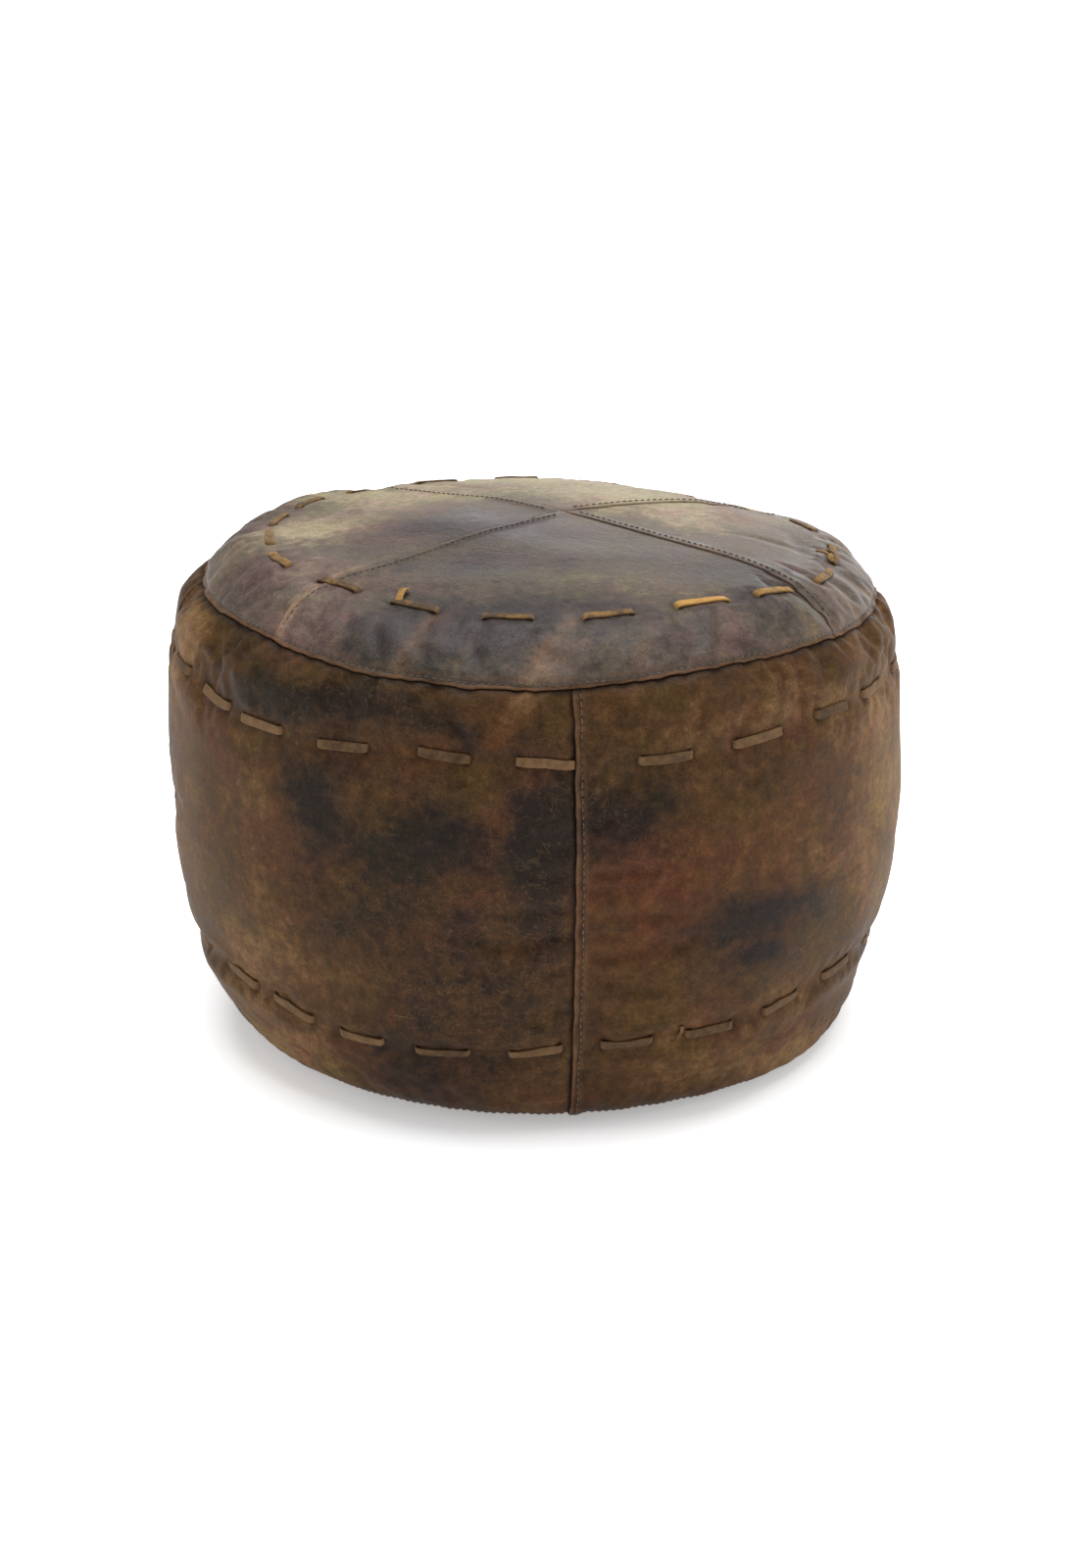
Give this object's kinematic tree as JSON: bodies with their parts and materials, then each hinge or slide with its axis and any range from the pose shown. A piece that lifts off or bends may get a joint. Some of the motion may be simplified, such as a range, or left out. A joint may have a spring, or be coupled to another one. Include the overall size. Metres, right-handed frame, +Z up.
{
  "type": "leather pouf",
  "caption": "Round stuffed leather floor pouf with a domed seat, upright side panels, rows of thong lacing and a zip in its flat base.",
  "frame": {"origin": "middle of the base on the floor", "axes": "+Z up, -Y the front with one upright side seam just right of the middle, +X right; the zip runs along X"},
  "size_m": [0.5608, 0.5608, 0.3827],
  "materials": {
    "seat_leather": "satin",
    "side_leather": "satin",
    "base_leather": "matte",
    "seat_lace_leather": "satin",
    "side_lace_leather": "satin",
    "seam_thread": "matte",
    "liner_cotton": "matte",
    "stuffing": "matte",
    "zip_tape": "matte",
    "zip_brass": "satin"
  },
  "bodies": {
    "cover": {"seat_panel_front": "seat_leather", "seat_panel_right": "seat_leather", "seat_panel_back": "seat_leather", "seat_panel_left": "seat_leather", "side_panel_front_right": "side_leather", "side_panel_back_right": "side_leather", "side_panel_back_left": "side_leather", "side_panel_front_left": "side_leather", "base_panel_front": "base_leather", "base_panel_back": "base_leather", "seat_lace": "seat_lace_leather", "upper_side_lace": "side_lace_leather", "lower_side_lace": "side_lace_leather", "rim_thread": "seam_thread", "seat_seam_threads": "seam_thread", "side_seam_threads": "seam_thread", "base_thread": "seam_thread", "liner_top": "liner_cotton", "liner_side": "liner_cotton", "liner_base": "liner_cotton", "filling": "stuffing", "zip_tape_front": "zip_tape", "zip_tape_back": "zip_tape", "zip_teeth_front": "zip_brass", "zip_teeth_back": "zip_brass", "zip_top_stops": "zip_brass", "zip_bottom_stop": "zip_brass"},
    "slider": {"zip_slider": "zip_brass"},
    "pull": {"zip_pull": "zip_brass"}
  },
  "joints": [
    {"name": "zip_slide", "type": "slide", "parent": "cover", "child": "slider", "axis": [-1, 0, 0], "range_m": [0, 0.318]},
    {"name": "pull_hinge", "type": "hinge", "parent": "slider", "child": "pull", "pos_m": [0.16, 0, 0.0056], "axis": [0, -1, 0], "range_deg": [0, 150]}
  ]
}
